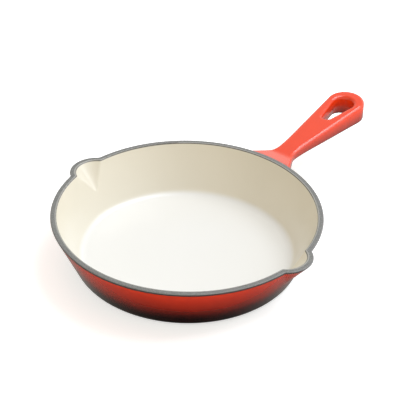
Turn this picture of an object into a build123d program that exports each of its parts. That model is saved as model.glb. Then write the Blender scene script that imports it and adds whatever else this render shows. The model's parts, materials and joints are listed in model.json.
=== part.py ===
"""An enamelled cast iron skillet, 20 cm across the rim, with two pouring spouts and a hanging hole.

The frame: the origin is the centre of the underside, +Z is up, and the handle points along +X.
The spouts are on +Y and -Y. Every length is in millimetres and every angle in degrees.

The skillet is one casting under fired coats of enamel. Each surface is described once, at its
finished place, by a function that takes `grow`: 0 gives the finished surface, and a negative
value the surface that lies that far inside it, such as the bare iron under the enamel.
"""

import os
from math import acos, atan, atan2, cos, hypot, radians, sin, tan

from build123d import *

# Bowl
RIM_RADIUS = 100.8
HEIGHT = 41.5
WALL_LEAN = 24.4
BASE_CORNER_RADIUS = 9.5
WALL_AT_RIM = 4.6
FLOOR_THICKNESS = 5.0
CAVITY_LEAN = 24.6
FLOOR_CORNER_RADIUS = 7.0
RIM_OUTER_ROUND = 0.8
RIM_INNER_ROUND = 1.0

# Pouring spouts: each is a cone whose tip lies in the wall, with a narrower cone for its groove
SPOUT_TILT = 0.0
SPOUT_TIP_RADIUS = 88.0
SPOUT_DEPTH = 25.5
SPOUT_REACH = 108.8
SPOUT_BLEND = 4.0
GROOVE_TILT = 2.0
GROOVE_TIP_RADIUS = 86.4
GROOVE_DEPTH = 19.8
GROOVE_REACH = 103.6
GROOVE_BLEND = 2.2

# Handle, seen from the side: heights are above the underside
HANDLE_TIP = 229.7
NECK = 131.0
NECK_TOP = 33.3
NECK_UNDER = 25.0
HANDLE_RISE = 3.9
HANDLE_FALL = 1.6
RAMP_START = 121.0
RAMP_BEND_RADIUS = 16.0
RAMP_BELOW_RIM = 3.0

# Handle, seen from above
NECK_HALF_WIDTH = 8.5
NECK_CURVE_RADIUS = 180.0
END_RADIUS = 15.6
FLARE_RADIUS = 20.0
FLARE_ANGLE = 28.0
HANDLE_TOP_ROUND = 2.8
HANDLE_UNDER_ROUND = 3.0
ROOT_BLEND = 1.8

# Hanging hole: a teardrop, narrowest at mid-thickness where the two halves of the mould met
HOLE_WIDE_END = 210.4
HOLE_WIDE_RADIUS = 7.8
HOLE_NARROW_END = 187.0
HOLE_NARROW_RADIUS = 3.3
HOLE_PARTING_HEIGHT = 31.0
HOLE_DRAFT = 9.0
HOLE_ROUND = 2.8

# Enamel coats
ENAMEL = 0.35
ENAMEL_OVER_RIM = 0.8
RIM_BAND_HEIGHT = 2.0
BASE_COAT_HEIGHT = ENAMEL

# How far the construction solids run past the finished ones before they are trimmed
OVERRUN = 6.0
HANDLE_INNER_END = 78.0

# Two points nearer than this count as one when edges are picked out
SAME_PLACE = 0.3


def leaning_plug(radius_at, bottom, corner_radius):
    """A solid of revolution with a leaning wall and a rounded lower corner, open above the rim."""
    top = HEIGHT + OVERRUN
    with BuildPart() as body:
        with BuildSketch(Plane.XZ):
            with BuildLine():
                wall_foot, wall_top = (radius_at(bottom), bottom), (radius_at(top), top)
                Polyline((0, bottom), wall_foot, wall_top, (0, top), close=True)
            make_face()
        revolve(axis=Axis.Z)
        fillet(body.edges().group_by(Axis.Z)[0], corner_radius)
    return body.part


def spout_cone(side, tip_radius, depth, reach, tilt, grow):
    """One spout's cone, standing on its tip. Its outer line passes through the rim at `reach`."""
    tilt = radians(tilt)
    half_angle = atan((reach - tip_radius) / depth) - tilt
    lower = grow / sin(half_angle)
    length = depth + lower + 2 * OVERRUN
    tip = (0, side * (tip_radius - lower * sin(tilt)), HEIGHT - depth - lower * cos(tilt))
    axis = Plane(origin=tip, x_dir=(1, 0, 0), z_dir=(0, side * sin(tilt), cos(tilt)))
    with BuildPart(axis) as body:
        Cone(0, length * tan(half_angle), length, align=(Align.CENTER, Align.CENTER, Align.MIN))
    return body.part


def spouted_plug(plug, cones, blend_radius):
    """A plug with both spout cones joined on, blended into its wall and cut level above the rim."""
    with BuildPart() as body:
        add(plug)
        add(cones)
        split(bisect_by=Plane.XY.offset(HEIGHT + OVERRUN), keep=Keep.BOTTOM)
        fillet(body.edges().filter_by(GeomType.BSPLINE), blend_radius)
    return body.part


def outer_wall_radius(height, grow=0.0):
    """Radius of the bowl's outer wall at a height."""
    lean = radians(WALL_LEAN)
    return RIM_RADIUS - (HEIGHT - height) * tan(lean) + grow / cos(lean)


def bowl_outside(grow):
    """Everything inside the outer surface of the bowl and its spouts."""
    plug = leaning_plug(lambda z: outer_wall_radius(z, grow), -grow, BASE_CORNER_RADIUS + grow)
    shape = (SPOUT_TIP_RADIUS, SPOUT_DEPTH, SPOUT_REACH, SPOUT_TILT)
    cones = [spout_cone(side, *shape, grow) for side in (1, -1)]
    return spouted_plug(plug, cones, SPOUT_BLEND - grow)


def cavity(grow):
    """The space that the bowl holds, with the two pouring grooves. A positive grow makes it wider."""
    lean = radians(CAVITY_LEAN)

    def radius_at(height):
        return RIM_RADIUS - WALL_AT_RIM - (HEIGHT - height) * tan(lean) + grow / cos(lean)

    plug = leaning_plug(radius_at, FLOOR_THICKNESS - grow, FLOOR_CORNER_RADIUS + grow)
    shape = (GROOVE_TIP_RADIUS, GROOVE_DEPTH, GROOVE_REACH, GROOVE_TILT)
    cones = [spout_cone(side, *shape, grow) for side in (1, -1)]
    return spouted_plug(plug, cones, GROOVE_BLEND - grow)


def handle_side_view(grow):
    """Side view of the handle: a long slow rise to the tip, and a short ramp up to the rim."""
    rise, fall = tan(radians(HANDLE_RISE)), tan(radians(HANDLE_FALL))
    far = HANDLE_TIP + OVERRUN
    bend = (RAMP_START, NECK_TOP - (NECK - RAMP_START) * rise)
    foot_height = HEIGHT - RAMP_BELOW_RIM
    ramp_slope = (foot_height - bend[1]) / (RAMP_START - outer_wall_radius(foot_height))
    inner_top = (HANDLE_INNER_END, bend[1] + (RAMP_START - HANDLE_INNER_END) * ramp_slope)
    inner_under = (HANDLE_INNER_END, NECK_UNDER + (NECK - HANDLE_INNER_END) * fall)
    far_top = (far, NECK_TOP + (far - NECK) * rise)
    far_under = (far, NECK_UNDER - (far - NECK) * fall)
    with BuildSketch(Plane.XZ) as view:
        with BuildLine():
            FilletPolyline(inner_top, bend, far_top, radius=RAMP_BEND_RADIUS)
            Polyline(far_top, far_under, inner_under, inner_top)
        make_face()
        offset(amount=grow, kind=Kind.INTERSECTION)
    return view.sketch


def handle_top_view(grow):
    """Outline of the handle from above: a round end, straight flanks, a neck and a flared root."""
    end_centre = HANDLE_TIP - END_RADIUS
    across, up = end_centre - NECK, NECK_HALF_WIDTH + NECK_CURVE_RADIUS
    flank = atan2(across, up) - acos((NECK_CURVE_RADIUS + END_RADIUS) / hypot(across, up))
    flare = radians(FLARE_ANGLE)
    neck = (NECK, NECK_HALF_WIDTH)
    flank_start = (NECK + NECK_CURVE_RADIUS * sin(flank), up - NECK_CURVE_RADIUS * cos(flank))
    flank_end = (end_centre - END_RADIUS * sin(flank), END_RADIUS * cos(flank))
    flare_end = (NECK - FLARE_RADIUS * sin(flare), NECK_HALF_WIDTH + FLARE_RADIUS * (1 - cos(flare)))
    root = (HANDLE_INNER_END, flare_end[1] + (flare_end[0] - HANDLE_INNER_END) * tan(flare))
    with BuildSketch() as view:
        with BuildLine():
            Line((HANDLE_INNER_END, 0), root)
            Line(root, flare_end)
            RadiusArc(flare_end, neck, -FLARE_RADIUS)
            RadiusArc(neck, flank_start, -NECK_CURVE_RADIUS)
            Line(flank_start, flank_end)
            RadiusArc(flank_end, (HANDLE_TIP, 0), END_RADIUS)
            mirror(about=Plane.XZ)
        make_face()
        offset(amount=grow, kind=Kind.INTERSECTION)
    return view.sketch


def lengthwise_edges(part, above):
    """The handle's long edges on one side of its mid-height, from the root right round the tip."""
    found = []
    for edge in part.edges():
        start, middle, end = edge.position_at(0), edge.position_at(0.5), edge.position_at(1)
        level = abs(start.X - end.X) < SAME_PLACE
        crosses = level and abs(start.Y + end.Y) < SAME_PLACE
        upright = level and abs(start.Y - end.Y) < SAME_PLACE
        if not crosses and not upright and (middle.Z > NECK_TOP - HANDLE_TOP_ROUND) == above:
            found.append(edge)
    return found


def handle_outside(grow):
    """The handle without its hole. It runs on into the bowl's wall."""
    with BuildPart() as body:
        add(handle_side_view(grow))
        revolve(axis=Axis.Z)
        add(handle_top_view(grow))
        extrude(amount=HEIGHT + 2 * OVERRUN, mode=Mode.INTERSECT)
        fillet(lengthwise_edges(body.part, above=True), HANDLE_TOP_ROUND + grow)
        fillet(lengthwise_edges(body.part, above=False), HANDLE_UNDER_ROUND + grow)
    return body.part


def hanging_hole(grow):
    """The teardrop hole's own volume. A positive grow makes it wider."""
    with BuildPart() as body:
        with BuildSketch(Plane.XY.offset(HOLE_PARTING_HEIGHT)):
            with Locations((HOLE_WIDE_END, 0)):
                Circle(HOLE_WIDE_RADIUS + grow)
            with Locations((HOLE_NARROW_END, 0)):
                Circle(HOLE_NARROW_RADIUS + grow)
            make_hull()
        extrude(amount=HEIGHT / 2, both=True, taper=-HOLE_DRAFT)
    return body.part


def hole_mouths(edges):
    """The edges round the hole's two mouths, without its upright seams and its parting line."""
    level = edges.filter_by(lambda edge: edge.bounding_box().size.Z < HOLE_ROUND)
    return level.filter_by(lambda edge: abs(edge.position_at(0.5).Z - HOLE_PARTING_HEIGHT) > HOLE_ROUND)


def skillet(grow):
    """The whole skillet in one solid: bowl, spouts and handle."""
    with BuildPart() as body:
        add(bowl_outside(grow))
        add(handle_outside(grow))
        fillet(body.edges(Select.NEW), ROOT_BLEND - grow)
        split(bisect_by=Plane.XY.offset(HEIGHT + grow), keep=Keep.BOTTOM)
        add(cavity(-grow), mode=Mode.SUBTRACT)
        rim = body.faces().filter_by(GeomType.PLANE).sort_by(Axis.Z)[-1]
        fillet(rim.inner_wires().edges(), RIM_INNER_ROUND + grow)
        rim = body.faces().filter_by(GeomType.PLANE).sort_by(Axis.Z)[-1]
        fillet(rim.outer_wire().edges(), RIM_OUTER_ROUND + grow)
        add(hanging_hole(-grow), mode=Mode.SUBTRACT)
        fillet(hole_mouths(body.edges(Select.NEW)), HOLE_ROUND + grow)
    return body.part


os.makedirs("parts", exist_ok=True)

# The bare casting
with BuildPart() as cast_iron_body:
    add(skillet(-ENAMEL))

# All the enamel together: what lies between the bare casting and the finished surface
with BuildPart() as enamel:
    add(skillet(0))
    add(cast_iron_body.part, mode=Mode.SUBTRACT)

# Cream enamel over the floor, the wall and the grooves, which laps over the rim's inner edge
with BuildPart() as interior_enamel:
    add(enamel.part)
    add(cavity(ENAMEL_OVER_RIM), mode=Mode.INTERSECT)

# Everything outside that lap
with BuildPart() as outer_coats:
    add(enamel.part)
    add(cavity(ENAMEL_OVER_RIM), mode=Mode.SUBTRACT)

# The zone of the rim's band: it stops short of the handle's tip, which is almost as high
with BuildPart(Plane.XY.offset(HEIGHT - RIM_BAND_HEIGHT)) as rim_zone:
    Cylinder(
        SPOUT_REACH + OVERRUN, RIM_BAND_HEIGHT + OVERRUN, align=(Align.CENTER, Align.CENTER, Align.MIN)
    )

# Matt ground coat left showing along the top of the rim
with BuildPart() as rim_ground_coat:
    add(outer_coats.part)
    add(rim_zone.part, mode=Mode.INTERSECT)

# Dark coat over the underside, as thick as the enamel, which the skillet stands on
with BuildPart() as base_enamel:
    add(outer_coats.part)
    split(bisect_by=Plane.XY.offset(BASE_COAT_HEIGHT), keep=Keep.BOTTOM)

# Red enamel over the bowl's side, down to the underside, and over all of the handle
with BuildPart() as exterior_enamel:
    add(outer_coats.part)
    add(rim_zone.part, mode=Mode.SUBTRACT)
    split(bisect_by=Plane.XY.offset(BASE_COAT_HEIGHT), keep=Keep.TOP)

cast_iron_body.part.label = "cast_iron_body"
interior_enamel.part.label = "interior_enamel"
rim_ground_coat.part.label = "rim_ground_coat"
base_enamel.part.label = "base_enamel"
exterior_enamel.part.label = "exterior_enamel"

for piece in (cast_iron_body, interior_enamel, rim_ground_coat, base_enamel, exterior_enamel):
    export_step(piece.part, f"parts/{piece.part.label}.step")
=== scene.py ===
"""An enamelled cast iron skillet on a pale floor under soft studio light.

The CAD model gives every shape. This script gives the coats their materials, and adds the floor,
the lights and the camera. Lengths are in metres and angles in degrees. Inside the materials,
heights, noise sizes and bump depths are in millimetres.
"""

import json
from math import cos, radians, sin

import bpy
from mathutils import Matrix, Vector


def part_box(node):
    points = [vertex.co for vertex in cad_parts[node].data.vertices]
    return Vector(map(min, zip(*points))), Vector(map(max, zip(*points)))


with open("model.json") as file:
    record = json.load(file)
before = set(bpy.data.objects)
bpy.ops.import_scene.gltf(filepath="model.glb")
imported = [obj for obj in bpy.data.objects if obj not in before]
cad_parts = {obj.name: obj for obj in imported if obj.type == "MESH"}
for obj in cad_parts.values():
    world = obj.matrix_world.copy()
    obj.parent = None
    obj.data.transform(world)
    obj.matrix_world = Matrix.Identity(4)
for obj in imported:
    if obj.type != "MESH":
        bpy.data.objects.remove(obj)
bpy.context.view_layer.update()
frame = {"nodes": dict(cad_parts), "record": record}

MM = 0.001

# Places taken from the CAD model
BASE_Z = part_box("base_enamel")[0].z
RIM_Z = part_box("rim_ground_coat")[1].z
MOUNTS = {mount["name"]: mount for mount in frame["record"]["mounts"]}
PAN_FLOOR_Z = MOUNTS["cooking_surface"]["pos_m"][2]
RIM_CENTRE = Vector((0, 0, RIM_Z))
PAN_FLOOR_HEIGHT = (PAN_FLOOR_Z - BASE_Z) / MM
RIM_HEIGHT = (RIM_Z - BASE_Z) / MM

# Camera: the handle runs away to the upper right of the picture
CAMERA_AZIMUTH = -53.65
CAMERA_ELEVATION = 34.17
CAMERA_ROLL = 1.33
CAMERA_DISTANCE = 1.13
CAMERA_LENS_MM = 133.1
SENSOR_WIDTH_MM = 36
CLIP_START = 0.05
AIM_RIGHT = 0.01525
AIM_UP = 0.0028

# Light
KEY_COLOUR = (0.84, 0.92, 1.0)
FILL_COLOUR = (1.0, 0.90, 0.72)
ROOM_COLOUR = (0.60, 0.54, 0.42)
WINDOW_COLOUR = (1.12, 1.12, 1.08)
ROOM_LEVELS = ((0.0, 0.03), (0.2, 0.36), (0.42, 0.62), (0.5, 0.9), (0.75, 0.72), (1.0, 0.6))

# Studio floor
FLOOR_SIZE = 6.0
FLOOR_PAINT = {
    "Base Color": (0.85, 0.85, 0.85, 1),
    "Roughness": 0.9,
    "Specular IOR Level": 0.1,
    "Emission Color": (1, 1, 1, 1),
    "Emission Strength": 0.6,
}

# Parts of a noise's range that are stretched out to the full range of what it drives
NARROW_NOISE = (0.35, 0.65)
MOTTLE_NOISE = (0.35, 0.75)
USUAL_NOISE = (0.3, 0.7)
WIDE_NOISE = (0.2, 0.8)

# Red coat: the bowl's colours by height, and the handle's. On the bowl the black fade from below is the
# enamel's own, and the red above it is kept darker than the handle's as painted shade. Low on the handle,
# its sides and underside get painted shade. A FACING span goes by how far the surface faces up, from 0 on
# a wall to 1 on top. HANDLE_START is measured from the bowl's axis
RAMP_TOP = 42
FADE_DRIFT = 0.7
# Painted shade: above the black fade, these reds are darker than the handle's red
BOWL_FADE_AND_SHADE_REDS = (
    (4, (0.003, 0.001, 0.001)),
    (9, (0.008, 0.002, 0.002)),
    (13.5, (0.046, 0.004, 0.003)),
    (18, (0.145, 0.009, 0.004)),
    (23, (0.27, 0.015, 0.005)),
    (33, (0.46, 0.024, 0.007)),
    (40, (0.60, 0.034, 0.009)),
)
BOWL_MOTTLE = (0.10, 0.006, 0.003)
HANDLE_RED = (0.86, 0.048, 0.006)
HANDLE_MOTTLE = (0.64, 0.026, 0.005)
# Painted shade on the handle's sides and underside, low down where they don't face up
HANDLE_PAINTED_SHADE = (0.16, 0.022, 0.018)
HANDLE_PAINTED_SHADE_HEIGHTS = (24, 36)
HANDLE_START = (99, 110)
HANDLE_UNSHADED_FACING = (0.1, 0.8)
MOTTLE_STRENGTH = 0.12

# Shade coat under the bowl
BASE_BLACK = (0.004, 0.002, 0.002)
BASE_BROWN_BLACK = (0.010, 0.004, 0.003)

# Cream coat: paler on the pan's floor as painted light. Between the heights of CREAM_END it thins out,
# and laps grey over the lip's flat top; where the lip doesn't face up it turns dark as painted shade
# Painted light: the pan's floor is paler than its walls
PAN_FLOOR_PAINTED_LIGHT_CREAM = (0.87, 0.85, 0.83)
WALL_CREAM = (0.83, 0.775, 0.665)
LIP_CREAM = (0.80, 0.735, 0.61)
CLOUD_CREAM = (0.74, 0.68, 0.56)
CLOUD_STRENGTH = 0.06
# Painted shade on the lip where it doesn't face up
LIP_PAINTED_SHADE = (0.05, 0.045, 0.04)
LIP_LAP = (0.36, 0.35, 0.33)
CREAM_END = (RIM_HEIGHT - 0.75, RIM_HEIGHT - 0.45)
LIP_LAP_FACING = (0.82, 0.95)

# Ground coat along the rim: grey with grains on top, and dark at its sides as painted shade
GROUND_PAINTED_SHADE = (0.030, 0.026, 0.026)
GROUND_GREY = (0.12, 0.12, 0.12)
GROUND_GRAIN = (0.28, 0.275, 0.265)
GROUND_TOP = (RIM_HEIGHT - 0.9, RIM_HEIGHT - 0.2)

# Bare iron
IRON_DARK = (0.05, 0.05, 0.052)
IRON_PALE = (0.12, 0.12, 0.125)

GLASS_IOR = 1.5


def camera_axes():
    """Right, away and up of a level camera that looks along CAMERA_AZIMUTH."""
    turn = radians(CAMERA_AZIMUTH)
    right = Vector((cos(turn), sin(turn), 0))
    away = Vector((-sin(turn), cos(turn), 0))
    return right, away, Vector((0, 0, 1))


def place(right, away, up):
    """The point so far right of, behind and above the rim's centre, as the camera sees it."""
    axes = camera_axes()
    return RIM_CENTRE + axes[0] * right + axes[1] * away + axes[2] * up


def add_camera():
    """The camera at the photograph's viewing angle."""
    right, away, up = camera_axes()
    lift = radians(CAMERA_ELEVATION)
    forward = away * cos(lift) - up * sin(lift)
    above = away * sin(lift) + up * cos(lift)
    roll = Matrix.Rotation(radians(CAMERA_ROLL), 3, -forward)
    right, above = roll @ right, roll @ above
    camera = bpy.data.objects.new("camera", bpy.data.cameras.new("camera"))
    camera.data.lens = CAMERA_LENS_MM
    camera.data.sensor_width = SENSOR_WIDTH_MM
    camera.data.clip_start = CLIP_START
    location = RIM_CENTRE - forward * CAMERA_DISTANCE + right * AIM_RIGHT + above * AIM_UP
    turn = Matrix((right, above, -forward)).transposed()
    camera.matrix_world = Matrix.Translation(location) @ turn.to_4x4()
    bpy.context.scene.collection.objects.link(camera)
    bpy.context.scene.camera = camera


def add_area_light(name, location, size, power, colour):
    """A square soft box that faces the rim's centre."""
    light = bpy.data.lights.new(name, "AREA")
    light.size = size
    light.energy = power
    light.color = colour
    lamp = bpy.data.objects.new(name, light)
    lamp.location = location
    lamp.rotation_euler = (RIM_CENTRE - location).to_track_quat("-Z", "Y").to_euler()
    bpy.context.scene.collection.objects.link(lamp)


def add_lights():
    """Two soft boxes on the right, a large high one and a small low one, and a warm fill in front."""
    key_place = place(right=0.70, away=0.30, up=1.30)
    side_place = place(right=1.35, away=0.35, up=0.75)
    fill_place = place(right=-0.8, away=-1.2, up=0.9)
    add_area_light("key", key_place, size=1.1, power=17.2, colour=KEY_COLOUR)
    add_area_light("side", side_place, size=0.6, power=2.2, colour=KEY_COLOUR)
    add_area_light("fill", fill_place, size=1.4, power=2.5, colour=FILL_COLOUR)


def add_surround():
    """The room: dark straight below, brightest at eye level, and brighter still to the right and behind."""
    world = bpy.data.worlds.new("surround")
    world.use_nodes = True
    bpy.context.scene.world = world
    nodes = Nodes(world)
    direction = nodes.coordinates["Generated"]
    height = nodes.span(nodes.component(direction, "Z"), (-1, 1))
    levels = nodes.ramp(height, [(stop, (level, level, level)) for stop, level in ROOM_LEVELS])
    right, away = camera_axes()[:2]
    window_side = (right * 2 + away).normalized()
    facing = nodes.add("ShaderNodeVectorMath", operation="DOT_PRODUCT")
    nodes.feed(facing.inputs[0], direction)
    facing.inputs[1].default_value = window_side
    tint = nodes.mix(nodes.span(facing.outputs["Value"], (-1, 1)), ROOM_COLOUR, WINDOW_COLOUR)
    light = nodes.add("ShaderNodeVectorMath", operation="MULTIPLY")
    nodes.feed(light.inputs[0], levels)
    nodes.feed(light.inputs[1], tint)
    nodes.feed(world.node_tree.nodes["Background"].inputs["Color"], light.outputs["Vector"])


def add_floor():
    """A plain pale floor, lit a little from within like a light table, so that shadows stay faint."""
    half = FLOOR_SIZE / 2
    mesh = bpy.data.meshes.new("floor")
    corners = [(x, y, BASE_Z) for x, y in ((-half, -half), (half, -half), (half, half), (-half, half))]
    mesh.from_pydata(corners, [], [(0, 1, 2, 3)])
    floor = bpy.data.objects.new("floor", mesh)
    bpy.context.scene.collection.objects.link(floor)
    paint = new_material("floor_paint")
    shader = paint.node_tree.nodes["Principled BSDF"]
    for name, value in FLOOR_PAINT.items():
        shader.inputs[name].default_value = value
    floor.data.materials.append(paint)
    floor.visible_glossy = False


def new_material(name):
    """A material with its default shader."""
    material = bpy.data.materials.new(name)
    material.use_nodes = True
    return material


class Nodes:
    """Short names for the shader nodes of one material, or of the room."""

    def __init__(self, owner):
        self.tree = owner.node_tree
        self.coordinates = self.add("ShaderNodeTexCoord").outputs

    def add(self, kind, **settings):
        """A new node with its settings."""
        node = self.tree.nodes.new(kind)
        for key, value in settings.items():
            setattr(node, key, value)
        return node

    def feed(self, socket, value):
        """Sets a socket to a number or a colour, or links another node's output to it."""
        if isinstance(value, (int, float)):
            socket.default_value = value
        elif isinstance(value, tuple):
            socket.default_value = (*value, 1)
        else:
            self.tree.links.new(value, socket)

    def component(self, vector, axis):
        """One component of a vector."""
        split = self.add("ShaderNodeSeparateXYZ")
        self.feed(split.inputs[0], vector)
        return split.outputs[axis]

    def height(self):
        """Height above what the pan stands on, in millimetres."""
        return self.calculate("MULTIPLY", self.component(self.coordinates["Object"], "Z"), 1 / MM)

    def along_handle(self):
        """Distance from the bowl's axis towards the handle's tip, in millimetres."""
        return self.calculate("MULTIPLY", self.component(self.coordinates["Object"], "X"), 1 / MM)

    def upward(self):
        """How far the surface faces up: 1 on top, 0 on a wall, -1 underneath."""
        return self.component(self.coordinates["Normal"], "Z")

    def calculate(self, operation, first, second):
        """The result of an operation on two values."""
        node = self.add("ShaderNodeMath", operation=operation)
        self.feed(node.inputs[0], first)
        self.feed(node.inputs[1], second)
        return node.outputs[0]

    def noise(self, patch, detail, roughness=0.5):
        """Noise from 0 to 1 whose patches are about so many millimetres across."""
        node = self.add("ShaderNodeTexNoise")
        self.feed(node.inputs["Vector"], self.coordinates["Object"])
        node.inputs["Scale"].default_value = 1 / (patch * MM)
        node.inputs["Detail"].default_value = detail
        node.inputs["Roughness"].default_value = roughness
        return node.outputs["Fac"]

    def ramp(self, value, stops):
        """Colours by a value from 0 to 1: stops are (value, colour) pairs."""
        node = self.add("ShaderNodeValToRGB")
        elements = node.color_ramp.elements
        while len(elements) < len(stops):
            elements.new(0.5)
        for element, (stop, colour) in zip(elements, stops):
            element.position = stop
            element.color = (*colour, 1)
        self.feed(node.inputs["Fac"], value)
        return node.outputs["Color"]

    def height_ramp(self, height, stops):
        """Colours by height: stops are (height, colour) pairs between 0 and RAMP_TOP."""
        scaled = self.span(height, (0, RAMP_TOP))
        return self.ramp(scaled, [(stop / RAMP_TOP, colour) for stop, colour in stops])

    def span(self, value, source, target=(0, 1)):
        """Maps a value from the source span to the target span and keeps it inside."""
        node = self.add("ShaderNodeMapRange")
        self.feed(node.inputs["Value"], value)
        ends = ("From Min", "From Max", "To Min", "To Max")
        for end, number in zip(ends, (*source, *target)):
            node.inputs[end].default_value = number
        return node.outputs["Result"]

    def mix(self, amount, first, second):
        """The first colour where the amount is 0, and the second where it is 1."""
        node = self.add("ShaderNodeMix", data_type="RGBA")
        factor, first_colour, second_colour = node.inputs["Factor"], node.inputs[6], node.inputs[7]
        self.feed(factor, amount)
        self.feed(first_colour, first)
        self.feed(second_colour, second)
        return node.outputs[2]

    def bump(self, height, distance):
        """A bump whose full height is a distance in millimetres."""
        node = self.add("ShaderNodeBump")
        node.inputs["Strength"].default_value = 1.0
        node.inputs["Distance"].default_value = distance * MM
        self.feed(node.inputs["Height"], height)
        return node.outputs["Normal"]

    def finish(self, **values):
        """Gives the shader's sockets their values. A socket's name has _ for a space here."""
        shader = self.tree.nodes["Principled BSDF"]
        for name, value in values.items():
            self.feed(shader.inputs[name.replace("_", " ")], value)


def red_enamel():
    """Glossy orange-red glass. On the bowl it is sprayed over with black from below, and its red above the
    black is darker than the handle's as painted shade.

    Low on the handle, its sides and underside are darker than its top, as painted shade.
    """
    material = new_material("red_enamel")
    nodes = Nodes(material)
    drift = nodes.span(nodes.noise(patch=26, detail=2), USUAL_NOISE, (-FADE_DRIFT, FADE_DRIFT))
    bowl = nodes.height_ramp(nodes.calculate("ADD", nodes.height(), drift), BOWL_FADE_AND_SHADE_REDS)
    mottle = nodes.span(nodes.noise(patch=9, detail=3), MOTTLE_NOISE, (0, MOTTLE_STRENGTH))
    bowl = nodes.mix(mottle, bowl, BOWL_MOTTLE)
    handle = nodes.mix(mottle, HANDLE_RED, HANDLE_MOTTLE)
    # Painted shade: low on the handle, where the surface doesn't face up, the red turns dark
    high = nodes.span(nodes.height(), HANDLE_PAINTED_SHADE_HEIGHTS)
    facing_up = nodes.span(nodes.upward(), HANDLE_UNSHADED_FACING)
    handle = nodes.mix(nodes.calculate("MAXIMUM", high, facing_up), HANDLE_PAINTED_SHADE, handle)
    colour = nodes.mix(nodes.span(nodes.along_handle(), HANDLE_START), bowl, handle)
    nodes.finish(
        Base_Color=colour,
        Roughness=nodes.span(nodes.noise(patch=40, detail=2), USUAL_NOISE, (0.16, 0.24)),
        Normal=nodes.bump(nodes.noise(patch=3.2, detail=2), distance=0.012),
        IOR=GLASS_IOR,
        Coat_Weight=0.6,
        Coat_Roughness=0.10,
    )
    return material


def dark_enamel():
    """The black shade coat under the bowl."""
    material = new_material("dark_enamel")
    nodes = Nodes(material)
    nodes.finish(
        Base_Color=nodes.mix(nodes.noise(patch=14, detail=3), BASE_BLACK, BASE_BROWN_BLACK),
        Roughness=nodes.span(nodes.noise(patch=30, detail=4), USUAL_NOISE, (0.14, 0.26)),
        Normal=nodes.bump(nodes.noise(patch=3.2, detail=2), distance=0.012),
        IOR=GLASS_IOR,
        Coat_Weight=0.2,
        Coat_Roughness=0.06,
    )
    return material


def cream_enamel():
    """Smooth cream glass, paler on the floor as painted light. It is so thin on the lip that the ground
    coat shows on its flat top, and where the lip doesn't face up it is dark as painted shade.
    """
    material = new_material("cream_enamel")
    nodes = Nodes(material)
    creams = (
        (PAN_FLOOR_HEIGHT + 0.6, PAN_FLOOR_PAINTED_LIGHT_CREAM),
        (PAN_FLOOR_HEIGHT + 3.0, WALL_CREAM),
        (CREAM_END[0], LIP_CREAM),
        (CREAM_END[1], LIP_PAINTED_SHADE),
    )
    colour = nodes.height_ramp(nodes.height(), creams)
    near_rim = nodes.span(nodes.height(), CREAM_END)
    flat = nodes.span(nodes.upward(), LIP_LAP_FACING)
    colour = nodes.mix(nodes.calculate("MULTIPLY", near_rim, flat), colour, LIP_LAP)
    cloud = nodes.span(nodes.noise(patch=70, detail=1), WIDE_NOISE, (0, CLOUD_STRENGTH))
    nodes.finish(
        Base_Color=nodes.mix(cloud, colour, CLOUD_CREAM),
        Roughness=nodes.span(nodes.noise(patch=50, detail=1), WIDE_NOISE, (0.29, 0.36)),
        Normal=nodes.bump(nodes.noise(patch=4.5, detail=2), distance=0.010),
        IOR=GLASS_IOR,
        Coat_Weight=0.5,
        Coat_Roughness=0.16,
    )
    return material


def ground_coat():
    """The bare matt ground coat along the rim, grey with fine pale grains on top, and dark at its sides as
    painted shade.
    """
    material = new_material("ground_coat")
    nodes = Nodes(material)
    grains = nodes.span(nodes.noise(patch=0.7, detail=3, roughness=0.7), NARROW_NOISE)
    # Painted shade: below the rim's top the ground coat turns dark
    top = nodes.span(nodes.height(), GROUND_TOP)
    nodes.finish(
        Base_Color=nodes.mix(top, GROUND_PAINTED_SHADE, nodes.mix(grains, GROUND_GREY, GROUND_GRAIN)),
        Roughness=nodes.span(grains, (0, 1), (0.30, 0.45)),
        Normal=nodes.bump(nodes.noise(patch=0.9, detail=4, roughness=0.6), distance=0.05),
        IOR=GLASS_IOR,
    )
    return material


def cast_iron():
    """Bare sand-cast iron. The coats hide it."""
    material = new_material("cast_iron")
    nodes = Nodes(material)
    nodes.finish(
        Base_Color=nodes.mix(nodes.noise(patch=2, detail=4), IRON_DARK, IRON_PALE),
        Roughness=0.65,
        Normal=nodes.bump(nodes.noise(patch=1.2, detail=5, roughness=0.65), distance=0.15),
        Metallic=0.6,
    )
    return material


def dress(node, material):
    """Gives a CAD node its material."""
    mesh = frame["nodes"][node].data
    mesh.materials.clear()
    mesh.materials.append(material)


add_camera()
add_lights()
add_surround()
add_floor()

dress("cast_iron_body", cast_iron())
dress("interior_enamel", cream_enamel())
dress("exterior_enamel", red_enamel())
dress("base_enamel", dark_enamel())
dress("rim_ground_coat", ground_coat())

bpy.context.scene.view_settings.view_transform = "Standard"
